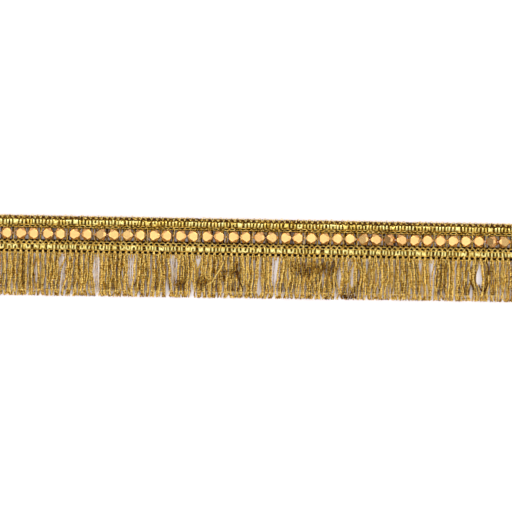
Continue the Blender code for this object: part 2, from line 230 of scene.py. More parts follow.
# Threads pulled out of the cords, as points of x and y in millimetres: dark cores and one bright
# thread, and the heights at which they lie
PULLED_THREADS = (
    ((116.2, 1.2), (117.4, -2.0), (117.6, -5.9)),
    ((117.4, -9.8), (116.5, -12.3), (115.4, -14.1)),
    ((112.8, -10.7), (113.4, -12.5), (114.4, -14.1)),
    ((108.1, -8.2), (109.4, -11.0), (110.3, -13.6)),
    ((-10.0, -2.7), (-9.6, -5.5), (-9.3, -8.2), (-8.0, -11.5), (-6.9, -14.2)),
)
STRAY_THREAD = ((-16.4, -1.5), (-17.9, -5.0), (-20.3, -8.6), (-22.2, -12.0), (-24.8, -13.4))
PULLED_HEIGHT = 2.0 * MM
STRAY_HEIGHT = 2.4 * MM

# Kinds of node that are used over and over
MATH = "ShaderNodeMath"
VECTORS = "ShaderNodeVectorMath"
RANDOM = "FunctionNodeRandomValue"
STORE = "GeometryNodeStoreNamedAttribute"
NOISE = "ShaderNodeTexNoise"
RANGE = "ShaderNodeMapRange"
RAMP = "ShaderNodeValToRGB"


# Shared ways of making things
def place_object(name, data):
    made = bpy.data.objects.new(name, data)
    bpy.context.scene.collection.objects.link(made)
    return made


def mesh_object(name, bm):
    """The object of a finished bmesh, which is freed."""
    mesh = bpy.data.meshes.new(name)
    bm.to_mesh(mesh)
    bm.free()
    return place_object(name, mesh)


def linear(hex_code):
    """An sRGB hex colour as the linear RGBA that a shader takes."""
    channels = [int(hex_code[i : i + 2], 16) / 255 for i in (1, 3, 5)]
    spread = [c / 12.92 if c <= 0.04045 else ((c + 0.055) / 1.055) ** 2.4 for c in channels]
    return (*spread, 1.0)


def set_inputs(node, inputs):
    """Sets inputs of a node, each to a value or a link. An input goes by its name, or by its
    number where several share a name."""
    for socket, value in inputs.items():
        if isinstance(value, bpy.types.NodeSocket):
            node.id_data.links.new(value, node.inputs[socket])
        else:
            node.inputs[socket].default_value = value


def adder(tree):
    """The function that adds a node to a tree with its settings and inputs, where they differ
    from the node's own, and gives its outputs. A colour ramp has stops: places and hex colours."""

    def add(kind, inputs=(), stops=(), **settings):
        made = tree.nodes.new(kind)
        for name, value in settings.items():
            setattr(made, name, value)
        if stops:
            ramp = made.color_ramp.elements
            ramp[0].position, ramp[1].position = stops[0][0], stops[-1][0]
            for place, _ in stops[1:-1]:
                ramp.new(place)
            for stop, (_, colour) in zip(ramp, stops):
                stop.color = linear(colour)
        set_inputs(made, dict(inputs))
        return made.outputs

    return add


def new_tree(name, sockets):
    """A Geometry Nodes tree with named inputs, its function that adds nodes, and its inputs."""
    tree = bpy.data.node_groups.new(name, "GeometryNodeTree")
    for socket, kind in sockets.items():
        tree.interface.new_socket(socket, in_out="INPUT", socket_type="NodeSocket" + kind)
    tree.interface.new_socket("Geometry", in_out="OUTPUT", socket_type="NodeSocketGeometry")
    add = adder(tree)
    return tree, add, add("NodeGroupInput")


def end_tree(add, geometry, material):
    """Every tree ends in real faces with their material on."""
    real = add("GeometryNodeRealizeInstances", {"Geometry": geometry})[0]
    dressed = add("GeometryNodeSetMaterial", {"Geometry": real, "Material": material})[0]
    add("NodeGroupOutput", {"Geometry": dressed})


def run_tree(made, tree, settings):
    """Runs a tree on an object and keeps the result as the object's plain mesh."""
    modifier = made.modifiers.new(tree.name, "NODES")
    modifier.node_group = tree
    for item in tree.interface.items_tree:
        if item.in_out == "INPUT" and item.name in settings:
            modifier[item.identifier] = settings[item.name]
    bpy.context.view_layer.update()
    depsgraph = bpy.context.evaluated_depsgraph_get()
    mesh = bpy.data.meshes.new_from_object(
        made.evaluated_get(depsgraph), preserve_all_data_layers=True, depsgraph=depsgraph
    )
    made.modifiers.clear()
    made.data = mesh
    mesh.name = made.name
    return made


def twisted_thread_tree():
    """Threads along guide lines: each line becomes plies that wind round it, with a thickness.
    Each point keeps its distance along the thread, and how far it lies towards the top."""
    tree, add, given = new_tree(
        "twisted_thread",
        {"Geometry": "Geometry", "Plies": "Int", "Ply Radius": "Float", "Twist Radius": "Float",
         "Twist Pitch": "Float", "Step": "Float", "Sides": "Int", "Material": "Material"},
    )
    lines = add("GeometryNodeMeshToCurve", {"Mesh": given["Geometry"]})[0]
    smooth = add("GeometryNodeCurveSplineType", {"Curve": lines}, spline_type="CATMULL_ROM")[0]
    steps = {"Curve": smooth, "Length": given["Step"]}
    even = add("GeometryNodeResampleCurve", steps, mode="LENGTH")[0]
    along = add("GeometryNodeSplineParameter")["Length"]
    measured = add(STORE, {"Geometry": even, "Name": "along", "Value": along})[0]
    copies = {"Geometry": measured, "Amount": given["Plies"]}
    plies = add("GeometryNodeDuplicateElements", copies, domain="SPLINE")
    turns = add(MATH, {0: along, 1: given["Twist Pitch"]}, operation="DIVIDE")[0]
    share = add(MATH, {0: plies["Duplicate Index"], 1: given["Plies"]}, operation="DIVIDE")[0]
    phase = add("GeometryNodeInputNamedAttribute", {"Name": "phase"})["Attribute"]
    started = add(MATH, {0: share, 1: phase})[0]
    turned = add(MATH, {0: turns, 1: started})[0]
    angle = add(MATH, {0: turned, 1: 2 * math.pi}, operation="MULTIPLY")[0]
    tangent = add("GeometryNodeInputTangent")[0]
    across = add(VECTORS, {0: tangent, 1: (0, 0, 1)}, operation="CROSS_PRODUCT")[0]
    side = add(VECTORS, {0: across}, operation="NORMALIZE")[0]
    upward = add(VECTORS, {0: side, 1: tangent}, operation="CROSS_PRODUCT")[0]
    swings, arms = {}, []
    for wave, way in (("COSINE", upward), ("SINE", side)):
        swings[wave] = add(MATH, {0: angle}, operation=wave)[0]
        reach = add(MATH, {0: swings[wave], 1: given["Twist Radius"]}, operation="MULTIPLY")[0]
        arms.append(add(VECTORS, {0: way, "Scale": reach}, operation="SCALE")[0])
    offset = add(VECTORS, {0: arms[0], 1: arms[1]})[0]
    crown = {"Geometry": plies["Geometry"], "Name": "crown", "Value": swings["COSINE"]}
    crowned = add(STORE, crown)[0]
    wound = add("GeometryNodeSetPosition", {"Geometry": crowned, "Offset": offset})[0]
    outline = {"Resolution": given["Sides"], "Radius": given["Ply Radius"]}
    round_ply = add("GeometryNodeCurvePrimitiveCircle", outline)[0]
    swept = {"Curve": wound, "Profile Curve": round_ply, "Fill Caps": True}
    solid = add("GeometryNodeCurveToMesh", swept)[0]
    shaded = add("GeometryNodeSetShadeSmooth", {"Geometry": solid})[0]
    end_tree(add, shaded, given["Material"])
    return tree


def pieces_at_points_tree():
    """A small piece at every point, picked from a few variants. Each has the point's own turn, a
    little more turn and size at random, and its own tone."""
    tree, add, given = new_tree(
        "pieces_at_points",
        {"Geometry": "Geometry", "Variants": "Collection", "Turn Spread": "Vector",
         "Size Spread": "Float", "Tone Lift": "Float", "Seed": "Int", "Material": "Material"},
    )
    seed = given["Seed"]
    choice = {"Collection": given["Variants"], "Separate Children": True, "Reset Children": True}
    variants = add("GeometryNodeCollectionInfo", choice)[0]
    count = add(
        "GeometryNodeAttributeDomainSize", {"Geometry": variants}, component="INSTANCES"
    )["Instance Count"]
    last = add(MATH, {0: count, 1: 1.0}, operation="SUBTRACT")[0]
    pick_seed = add(MATH, {0: seed, 1: 100.0})[0]
    pick = add(RANDOM, {4: 0, 5: last, "Seed": pick_seed}, data_type="INT")[2]
    turn = add(
        "GeometryNodeInputNamedAttribute", {"Name": "turn"}, data_type="FLOAT_VECTOR"
    )["Attribute"]
    most = given["Turn Spread"]
    least = add(VECTORS, {0: most, "Scale": -1.0}, operation="SCALE")[0]
    own_turn = add(RANDOM, {0: least, 1: most, "Seed": seed}, data_type="FLOAT_VECTOR")[0]
    euler = add(VECTORS, {0: turn, 1: own_turn})[0]
    rotation = add("FunctionNodeEulerToRotation", {"Euler": euler})[0]
    smallest, largest = [
        add(MATH, {0: 1.0, 1: given["Size Spread"]}, operation=change)[0]
        for change in ("SUBTRACT", "ADD")
    ]
    size = add(RANDOM, {2: smallest, 3: largest, "Seed": seed})[1]
    placing = {
        "Points": given["Geometry"], "Instance": variants, "Pick Instance": True,
        "Instance Index": pick, "Rotation": rotation, "Scale": size,
    }
    placed = add("GeometryNodeInstanceOnPoints", placing)[0]
    own_tone = add(RANDOM, {"Seed": seed})[1]
    tone = add(MATH, {0: own_tone, 1: given["Tone Lift"]})[0]
    named = {"Geometry": placed, "Name": "tone", "Value": tone}
    toned = add(STORE, named, domain="INSTANCE")[0]
    end_tree(add, toned, given["Material"])
    return tree


THREAD_TREE = twisted_thread_tree()
PIECES_TREE = pieces_at_points_tree()


def guide_lines(name, lines):
    """A mesh of open guide lines. Each line is its points and one tone, or a tone a point. Each
    starts its twist at another phase: steps of the golden section never fall in line."""
    golden_section = 0.618
    verts, edges, tones, phases = [], [], [], []
    for index, (points, tone) in enumerate(lines):
        first = len(verts)
        verts.extend(points)
        edges.extend((first + i, first + i + 1) for i in range(len(points) - 1))
        tones.extend(tone if isinstance(tone, list) else [tone] * len(points))
        phases.extend([(index * golden_section) % 1.0] * len(points))
    mesh = bpy.data.meshes.new(name)
    mesh.from_pydata(verts, edges, [])
    for attribute, values in (("tone", tones), ("phase", phases)):
        mesh.attributes.new(attribute, "FLOAT", "POINT").data.foreach_set("value", values)
    return place_object(name, mesh)


def threads(kind, lines, material, name=None):
    """A piece of threads of a kind along the lines. It has its kind's name, or its own."""
    size = dict(zip(THREAD_COLUMNS, THREADS[kind]))
    settings = {
        "Plies": 2 if size["twist"] else 1, "Ply Radius": size["ply"] * MM,
        "Twist Radius": size["twist"] * MM, "Twist Pitch": size["pitch"] * MM,
        "Step": size["step"] * MM, "Sides": size["sides"], "Material": material,
    }
    return run_tree(guide_lines(name or kind, lines), THREAD_TREE, settings)


def pieces_at(name, points, variants, material, turns=None, turn_spread=(0, 0, 0),
              size_spread=0.0, tone_lift=0.0, seed=1):
    """A piece made of small ones, one at each point. The small ones are used up by it."""
    mesh = bpy.data.meshes.new(name)
    mesh.from_pydata(points, [], [])
    turns = turns or [(0, 0, 0)] * len(points)
    flat = [angle for turn in turns for angle in turn]
    mesh.attributes.new("turn", "FLOAT_VECTOR", "POINT").data.foreach_set("vector", flat)
    choice = bpy.data.collections.new(name + "_variants")
    for variant in variants:
        choice.objects.link(variant)
    settings = {
        "Variants": choice, "Turn Spread": turn_spread, "Size Spread": size_spread,
        "Tone Lift": tone_lift, "Seed": seed, "Material": material,
    }
    made = run_tree(place_object(name, mesh), PIECES_TREE, settings)
    for variant in variants:
        bpy.data.objects.remove(variant)
    bpy.data.collections.remove(choice)
    return made


def dressed(piece, slot, *nodes):
    """Every piece rides on the one body and hides the CAD parts it replaces. Its slot is not used.
    """
    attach(piece, "root")
    if nodes:
        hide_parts(*nodes)
    return piece


# Materials
def new_material(name, sockets):
    """A material, its function that adds nodes, and its shader. What is the same all over is set
    on the shader's sockets."""
    material = bpy.data.materials.new(name)
    material.use_nodes = True
    shader = material.node_tree.nodes["Principled BSDF"]
    set_inputs(shader, sockets)
    return material, adder(material.node_tree), shader


def end_material(add, shader, colour, rough, relief, strength, depth):
    """The trim's materials end in a colour, a roughness and a relief."""
    height = {"Height": relief, "Strength": strength, "Distance": depth}
    bump = add("ShaderNodeBump", height)[0]
    set_inputs(shader, {"Base Color": colour, "Roughness": rough, "Normal": bump})


def zari_material(name, colours, roughness, metallic, shares):
    """Zari: metallised film wound on a rayon core. The film's fine rings are relief, and its glints
    are painted highlights. The crown of each ply is painted lighter and its flanks and the
    crossings of the plies darker, as painted light and shade; on a thread of one ply this paints
    bright and dark bands along it. Real rings lie closer than these, which are as coarse as they
    need to be to show.
    The shares say how much the thread's tone, the painted glints and the painted crown light add to
    its shade."""
    ring_pitch, glint_size, crinkle_size = 0.45 * MM, 0.85 * MM, 0.3 * MM
    material, add, shader = new_material(name, {"Metallic": metallic})
    place = add("ShaderNodeTexCoord")["Object"]
    tone, along, crown = [
        add("ShaderNodeAttribute", attribute_name=attribute)["Fac"]
        for attribute in ("tone", "along", "crown")
    ]
    noise = add(NOISE, {"Vector": place, "Scale": 1 / glint_size, "Detail": 1.0})["Fac"]
    painted_glint = add(RANGE, {"Value": noise, "From Min": 0.4, "From Max": 0.6})[0]
    # Painted light and shade: each ply's crown lighter, its flanks and crossings darker
    height = add(RANGE, {"Value": crown, "From Min": -0.1, "From Max": 0.9})[0]
    shade = shares["start"]
    for part, share in ((tone, "tone"), (painted_glint, "painted_glint"), (height, "height")):
        shade = add(MATH, {0: part, 1: shares[share], 2: shade}, operation="MULTIPLY_ADD")[0]
    stops = tuple(zip((0.0, 0.25, 0.55, 0.95), colours))
    colour = add(RAMP, {"Fac": shade}, stops)["Color"]
    limits = {"To Min": roughness + 0.12, "To Max": roughness - 0.12}
    rough = add(RANGE, {"Value": painted_glint, **limits})[0]
    turn = 2 * math.pi / ring_pitch
    rings = add(MATH, {0: along, 1: turn}, operation="MULTIPLY")[0]
    winding = add(MATH, {0: rings}, operation="SINE")[0]
    crinkle = add(NOISE, {"Vector": place, "Scale": 1 / crinkle_size})["Fac"]
    relief = add(MATH, {0: winding, 1: 0.25, 2: crinkle}, operation="MULTIPLY_ADD")[0]
    end_material(add, shader, colour, rough, relief, 0.6, 0.08 * MM)
    return material


def film_material():
    """Metallised polyester film, cut in narrow tape and folded: a near mirror, yellow by its
    lacquer, broken by fine creases that make each facet flash or go dark."""
    patch_size, crease_width, crease_length = 1.6 * MM, 0.7 * MM, 3 * MM
    material, add, shader = new_material("metallised_film", {"Metallic": 1.0})
    place = add("ShaderNodeTexCoord")["Object"]
    tone = add("ShaderNodeAttribute", attribute_name="tone")["Fac"]
    patches = add(NOISE, {"Vector": place, "Scale": 1 / patch_size})["Fac"]
    mixed = add(MATH, {0: tone, 1: 0.4, 2: patches}, operation="MULTIPLY_ADD")[0]
    stops = ((0.35, "#94761E"), (0.6, "#F2D66E"), (0.95, "#FFF5AA"))
    colour = add(RAMP, {"Fac": mixed}, stops)["Color"]
    rough = add(RANGE, {"Value": patches, "To Min": 0.28, "To Max": 0.42})[0]
    stretch = (1 / crease_width, 1 / crease_length, 1)
    upright = add("ShaderNodeMapping", {"Vector": place, "Scale": stretch})[0]
    creases = add(NOISE, {"Vector": upright, "Scale": 1.0})["Fac"]
    end_material(add, shader, colour, rough, creases, 0.6, 0.2 * MM)
    return material


def bead_material():
    """Acrylic bead, moulded with facets and vacuum plated in champagne gold under clear lacquer:
    flat bright facets with a soft edge, each bead a little more peach or more yellow, and browner
    on the facets that lean away from the overhead light, as painted shade."""
    bloom_size = 1.2 * MM
    material, add, shader = new_material(
        "plated_acrylic", {"Metallic": 0.95, "Coat Weight": 0.2, "Coat Roughness": 0.2}
    )
    place = add("ShaderNodeTexCoord")["Object"]
    tone, plating = [
        add("ShaderNodeAttribute", attribute_name=attribute)["Fac"]
        for attribute in ("tone", "plating")
    ]
    gold = add(RAMP, {"Fac": tone}, ((0.0, "#F8BE76"), (1.0, "#FBD688")))["Color"]
    bloom = add(NOISE, {"Vector": place, "Scale": 1 / bloom_size, "Detail": 1.0})["Fac"]
    bloomed = {0: bloom, 6: gold, 7: linear("#F0BC78")}
    worn = add("ShaderNodeMix", bloomed, data_type="RGBA")[2]
    # Painted shade: brown where a facet leans away from the light
    facet_shading = {0: plating, 6: linear("#96602C"), 7: worn}
    plated = add("ShaderNodeMix", facet_shading, data_type="RGBA")[2]
    rough = add(RANGE, {"Value": bloom, "To Min": 0.18, "To Max": 0.26})[0]
    end_material(add, shader, plated, rough, bloom, 0.05, 0.1 * MM)
    return material


def ground_material():
    """Rayon ground knit under the gold: matt, ribbed at the thread spacing of 0.5 mm, and near
    black brown as painted shade for the holes between the stitches.
    """
    # A band wave repeats every 0.314 of its scale
    thread_spacing, band = 0.5 * MM, 0.314
    sockets = {"Metallic": 0.15, "Specular IOR Level": 0.2}
    material, add, shader = new_material("rayon_ground_knit", sockets)
    place = add("ShaderNodeTexCoord")["Object"]
    wave = {"Vector": place, "Scale": band / thread_spacing, "Distortion": 1.5, "Detail": 2.0}
    ribs = add("ShaderNodeTexWave", wave)["Fac"]
    # Painted shade: the ground is near black so the holes over it read as shadow
    colour = add(RAMP, {"Fac": ribs}, ((0.0, "#160A00"), (1.0, "#2E1A04")))["Color"]
    rough = add(RANGE, {"Value": ribs, "To Min": 0.8, "To Max": 0.55})[0]
    end_material(add, shader, colour, rough, ribs, 0.8, 0.2 * MM)
    return material


def bead_thread_material():
    """Spun polyester thread in pale rose: soft, with fine hairs that lift its edges."""
    fibre_size = 0.25 * MM
    sockets = {"Sheen Weight": 0.4, "Sheen Roughness": 0.4}
    material, add, shader = new_material("spun_polyester_thread", sockets)
    place = add("ShaderNodeTexCoord")["Object"]
    fibres = add(NOISE, {"Vector": place, "Scale": 1 / fibre_size})["Fac"]
    colour = add(RAMP, {"Fac": fibres}, ((0.0, "#D9A98C"), (1.0, "#FFE9DA")))["Color"]
    end_material(add, shader, colour, 0.6, fibres, 0.4, 0.05 * MM)
    return material


def paper_material():
    """Matt paper, nearly white, with a faint grain."""
    material, add, shader = new_material("matt_white_paper", {"Roughness": 0.9})
    grain = add(NOISE, {"Scale": 900.0})["Fac"]
    colour = add(RAMP, {"Fac": grain}, ((0.0, "#F4EEF0"), (1.0, "#F8F3F5")))["Color"]
    set_inputs(shader, {"Base Color": colour})
    return material


# Of the shares, the glints and the crown's height are painted highlights and painted shade
FRINGE_CORD = zari_material(
    "zari_fringe_cord", ("#442000", "#744400", "#D09A28", "#E8CC78"), 0.48, 0.8,
    {"start": -0.18, "tone": 0.32, "painted_glint": 0.85, "height": 0.5},
)
KNIT_THREAD = zari_material(
    "zari_knit_thread", ("#442000", "#6E480C", "#DEAC36", "#FFE68C"), 0.42, 0.7,
    {"start": 0.0, "tone": 0.3, "painted_glint": 0.45, "height": 0.45},
)
FILM = film_material()
PLATED_ACRYLIC = bead_material()
GROUND_KNIT = ground_material()
BEAD_THREAD = bead_thread_material()


# Camera, light and floor
def make_camera():
    """The camera stands straight above with a long lens, turned a little about its own axis. The
    seen width is what 512 pixels show of the trim."""
    lens, sensor, seen_width = 250, 36, 259 * MM
    view_x, view_drop, view_turn = -0.1 * MM, 18.27 * MM, 1.07
    data = bpy.data.cameras.new("camera")
    data.lens = lens
    data.sensor_width = sensor
    camera = place_object("camera", data)
    camera.location = (view_x, PICOT_Y - view_drop, seen_width * lens / sensor)
    camera.rotation_euler = (0, 0, math.radians(view_turn))
    bpy.context.scene.camera = camera


def make_lights():
    """One large soft box overhead shows in what faces up. Four low ones rake the trim from its
    corners, so the floor between the cords lies in shade, and two fills at half height show in
    what leans. The room adds little."""
    softboxes = (
        ("overhead_softbox", (0, 0, 1.2), (1.6, 2.6), 16.6),
        ("upper_right_softbox", (0.67, 0.67, 0.42), (0.7, 0.25), 6.4),
        ("upper_left_softbox", (-0.67, 0.67, 0.42), (0.7, 0.25), 6.0),
        ("lower_right_softbox", (0.67, -0.67, 0.42), (0.7, 0.25), 5.2),
        ("lower_left_softbox", (-0.67, -0.67, 0.42), (0.7, 0.25), 4.9),
        ("right_fill", (0.88, 0, 0.75), (0.6, 0.4), 0.6),
        ("left_fill", (-0.88, 0, 0.75), (0.6, 0.4), 0.6),
    )
    for name, place, size, power in softboxes:
        light = bpy.data.lights.new(name, "AREA")
        light.shape = "RECTANGLE"
        light.size, light.size_y = size
        light.energy = power
        lamp = place_object(name, light)
        lamp.location = place
        lamp.rotation_euler = (-Vector(place)).to_track_quat("-Z", "Y").to_euler()
        lamp.visible_camera = False
    world = bpy.data.worlds.new("studio")
    world.use_nodes = True
    room = world.node_tree.nodes["Background"]
    set_inputs(room, {"Color": linear("#EFECEE"), "Strength": 0.12})
    bpy.context.scene.world = world
    bpy.context.scene.view_settings.view_transform = "Standard"


def make_floor():
    """A wide sheet of paper, a hair below the trim."""
    half_width, gap = 4.0, 0.02 * MM
    bm = bmesh.new()
    bmesh.ops.create_grid(bm, x_segments=1, y_segments=1, size=half_width)
    floor = mesh_object("paper_floor", bm)
    floor.data.materials.append(paper_material())
    floor.data.transform(Matrix.Translation((0, 0, -gap)))


# Header
def row_y(drop):
    return PICOT_Y - drop


def header_line(*places):
    """Points over the header, from their x in metres and their drop and height in millimetres."""
    return [(x, row_y(drop * MM), height * MM) for x, drop, height in places]


def stitch_x(stitch):
    """The middle of a stitch, counted from the left cut end."""
    return LEFT_END + (stitch + 0.5) * STITCH_PITCH


def make_ground():
    """The ground cloth: a thin knitted sheet with a picot edge and the open ladder. Its ribs are
    a wave in height, and it lies low under the heading chain. Each stitch has four columns."""
    pitch, strip = STITCH_PITCH / MM, LADDER_THREAD / MM
    notches = (0.4, 0.15, 0.0, 0.15)
    rib_spacing, rib_height, middle, low, heading_drop = 4.1, 0.12, 0.5, 0.3, 16
    top_drop = (LADDER_DROP - LADDER_HEIGHT / 2) / MM
    rows = [0.0, 0.35, 1.0, 1.8, 2.9, 4.0, 5.1, top_drop, top_drop + LADDER_HEIGHT / MM]
    rows += [12.4, 13.0, 14.2, 15.3, 16.2, GROUND_HEIGHT / MM, 17.6, 18.3]
    columns = [0.0]
    for stitch in range(STITCHES):
        start = stitch * STITCH_PITCH / MM
        columns += [start + strip / 2, start + pitch / 2, start + pitch - strip / 2, start + pitch]
    bm = bmesh.new()
    grid = {}
    for c, column in enumerate(columns):
        for r, drop in enumerate(rows):
            notch = notches[c % 4] if r == 0 else 0.0
            rib = middle + rib_height * math.cos(2 * math.pi * drop / rib_spacing)
            height = rib if drop < heading_drop else low
            corner = header_line((LEFT_END + column * MM, drop + notch, height))[0]
            grid[c, r] = bm.verts.new(corner)
    for c in range(len(columns) - 1):
        for r in range(len(rows) - 1):
            opening = rows[r] == top_drop and c % 4 in (1, 2)
            if not opening:
                bm.faces.new((grid[c, r], grid[c, r + 1], grid[c + 1, r + 1], grid[c + 1, r]))
    bmesh.ops.recalc_face_normals(bm, faces=bm.faces)
    ground = mesh_object("ground_cloth", bm)
    ground.data.materials.append(GROUND_KNIT)
    wall = ground.modifiers.new("thickness", "SOLIDIFY")
    wall.thickness = 0.4 * MM
    wall.offset = 0.0
    return dressed(ground, "knit_ground", "header_ground")


def chain_loop(opening):
    """One chain stitch: a teardrop of thread whose head lies over the next one's tail. It has no
    tone of its own, because it is repeated with one for each stitch."""
    half = ((-1.5, 0.12, 0.0), (-0.9, 0.5, 0.05), (-0.1, 0.72, 0.15), (0.8, 0.68, 0.3),
            (1.4, 0.38, 0.42), (1.65, 0.0, 0.5))
    back = [(x, -y, z) for x, y, z in reversed(half[:-1])]
    points = [Vector((x, y * opening, z)) * MM for x, y, z in (*half, *back)]
    loop = threads("chain_loop", [(points, PLAIN_TONE)], KNIT_THREAD)
    for name in ("tone", "phase"):
        if name in loop.data.attributes:
            loop.data.attributes.remove(loop.data.attributes[name])
    return loop


def make_chains():
    for seed, (row, made) in enumerate(CHAINS.items(), start=1):
        drop, shift, opening, height, lift = made
        stitches = range(STITCHES - 1) if shift else range(STITCHES)
        points = header_line(*[(stitch_x(stitch + shift), drop, height) for stitch in stitches])
        chain = pieces_at(
            f"chain_{row}", points, [chain_loop(opening)], KNIT_THREAD,
            turn_spread=(0.25, 0.05, 0.08), size_spread=0.06, tone_lift=lift, seed=seed,
        )
        dressed(chain, "fringe_cord" if row == "heading" else "knit_ground")


def lay_tape(bm, limb, lift):
    """A limb of film tape between two points: crowned across, and tucked down at both ends."""
    start, end = Vector(limb[:2]) * MM, Vector(limb[2:]) * MM
    run = end - start
    across = Vector((run.y, -run.x)).normalized()
    grid = bmesh.ops.create_grid(bm, x_segments=6, y_segments=6, size=1.0)["verts"]
    for vert in grid:
        u, v = vert.co.x, vert.co.y
        place = (start + end) / 2 + run * v / 2 + across * u * TAPE_WIDTH / 2
        crown = (1 - abs(u) ** 3.5) * (1 - abs(v) ** 6)
        vert.co = (*place, TAPE_EDGE + (TAPE_CROWN - TAPE_EDGE) * crown + lift)


def foil_fold(kind, rng):
    """One fold of the film braid, with the limbs of its kind laid one over the other."""
    bm = bmesh.new()
    for layer, limb in enumerate(FOLD_KINDS[kind]):
        lay_tape(bm, [end + rng.uniform(-0.2, 0.2) for end in limb], layer * TAPE_LAP)
    for face in bm.faces:
        face.smooth = True
    bmesh.ops.recalc_face_normals(bm, faces=bm.faces)
    return mesh_object("foil_fold_" + kind, bm)


def make_foils():
    """The two braids of folded film. Every second fold is turned round."""
    rng = random.Random(3)
    for seed, (row, made) in enumerate(FOILS.items(), start=11):
        points, turns, folds = [], [], []
        for index in range(FOLDS):
            stray = rng.uniform(-made["stray"], made["stray"])
            x = LEFT_END + (index + 0.5) * FOLD_PITCH + stray
            points.append((x, row_y(made["drop"]), GROUND_TOP - 0.05 * MM))
            turns.append((0, 0, math.pi * (index % 2)))
        for kind in FOLD_KINDS:
            copies = made["upright" if kind == "upright" else "other"]
            folds += [foil_fold(kind, rng) for _ in range(copies)]
        foil = pieces_at(
            f"foil_film_{row}", points, folds, FILM, turns=turns, turn_spread=(0.1, 0.12, 0.06),
            size_spread=0.04, tone_lift=made["lift"], seed=seed,
        )
        dressed(foil, "foil_braid", f"foil_braid_{row}")


def ladder_thread(x, start, stray, rng):
    """A thread behind the beads, from the upper chain down to the lower one."""
    least = LEFT_END + 0.3 * MM
    top = max(x + (start + rng.uniform(-0.3, 0.3)) * MM, least)
    low = max(x + (start + rng.uniform(-stray, stray)) * MM, least)
    upper, lower = (2 * top + low) / 3, (top + 2 * low) / 3
    return header_line((top, 5.2, 1.0), (upper, 7.6, 1.0), (lower, 10.2, 1.0), (low, 12.3, 1.05))


def lower_chain_leg(x, height, rng):
    """An arch of thread over the dark hole between two stitches of the lower chain."""
    hole = min(x + STITCH_PITCH / 2, RIGHT_END - 1.9 * MM)
    peak = hole + rng.uniform(-0.25, 0.25) * MM
    left, right = hole - rng.uniform(1.3, 1.7) * MM, hole + rng.uniform(1.3, 1.7) * MM
    return header_line(
        (left, 14.4, height), ((left * 2 + peak) / 3, 13.6, height), (peak, 12.0, 1.6),
        ((right * 2 + peak) / 3, 13.6, height), (right, 14.4, height),
    )


def picot_loop(x, rng):
    """A loop of thread that stands out past the edge."""
    rise, foot, waist = rng.uniform(0.4, 0.8), 1.35 * MM, 1.0 * MM
    return header_line(
        (x - foot, 1.3, 1.7), (x - waist, 0.3, 1.7), (x, -rise, 1.3), (x + waist, 0.3, 1.7),
        (x + foot, 1.3, 1.7),
    )


def picot_shade_thread(x, drop, rng):
    """A short dark thread under the picot edge, as painted shade in the picot's hole."""
    half = rng.uniform(0.4, 0.9) * MM
    middle = x + rng.uniform(-0.35, 0.35) * MM
    low = drop + 0.1
    return header_line((middle - half, low, 1.7), (middle, drop, 1.8), (middle + half, low, 1.7))


def strand_start(x, side, rng):
    """A strand that comes out under the heading chain and leads into the cords."""
    slant = side * rng.uniform(0.3, 0.7) * MM
    return header_line(
        (x + side * 0.15 * MM, 16.8, 2.0), (x + slant * 0.6, 17.7, 2.4), (x + slant, 18.9, 2.0),
        (x + slant * 0.9, 20.4, 1.6),
    )


def film_tie(x, drop, rng):
    """A thread tied over the film between two folds."""
    slant = rng.uniform(-0.5, 0.5) * MM
    return header_line(
        (x - slant, drop - 1.7, 1.2), (x - slant / 2, drop - 0.8, 1.5),
        (x + slant / 2, drop + 0.8, 1.5), (x + slant, drop + 1.7, 1.2),
    )


def make_header_threads():
    """Threads laid across the header: the ladder behind the beads, the legs of the lower chain,
    the picot edge, the starts of the strands, the ties over the film and its bed below it."""
    rng = random.Random(5)
    kinds = ("film_bed", "ladder_threads", "film_ties", "lower_chain_legs", "picot_loops",
             "picot_cores", "strand_starts")
    laid = {kind: [] for kind in kinds}

    def lay(kind, points):
        laid[kind].append((points, rng.uniform(*TONES[kind])))

    for stitch in range(STITCHES):
        x = stitch_x(stitch)
        for start, stray in LADDER_STARTS:
            lay("ladder_threads", ladder_thread(x, start, stray, rng))
        height = rng.uniform(1.8, 2.1)
        if rng.random() < LEG_SHARE:
            lay("lower_chain_legs", lower_chain_leg(x, height, rng))
        if rng.random() < PICOT_SHARE:
            lay("picot_loops", picot_loop(x, rng))
        # Dark threads in the picot holes are painted shade
        for drop in PICOT_SHADE_DROPS:
            lay("picot_cores", picot_shade_thread(x, drop, rng))
        for side in (-1, 1):
            lay("strand_starts", strand_start(x, side, rng))
    for foil in FOILS.values():
        for index in range(1, FOLDS):
            if rng.random() <= TIE_SHARE:
                lay("film_ties", film_tie(LEFT_END + index * FOLD_PITCH, foil["drop"] / MM, rng))
    # The bed's dark tone is painted shade in the slits between the film's folds
    for drop in BED_DROPS:
        places = [
            (stitch_x(stitch), drop + rng.uniform(-0.2, 0.2), 1.05) for stitch in range(STITCHES)
        ]
        lay("film_bed", header_line(*places))
    starts = laid.pop("strand_starts")
    for kind, lines in laid.items():
        dressed(threads(kind, lines, KNIT_THREAD), "knit_ground")
    fringe_threads("strand_starts", starts)


# Beads
def bead_steps():
    return range(-BEADS_EACH_SIDE, BEADS_EACH_SIDE + 1)


def bead_side(step):
    """Which way its pair lies from a bead: 1 for the left bead of a pair, -1 for the right one."""
    return 1 if step % 2 == 0 else -1


def in_loose_run(step):
    """Whether a bead lies in a run whose beads aren't drawn together in pairs."""
    return any(step in run for run in LOOSE_RUNS)


def bead_tilt(step):
    """How far the bead's table turns to the right about Y, away from its pair."""
    return math.radians(OWN_LEANS.get(step, -bead_side(step) * PAIR_LEAN))


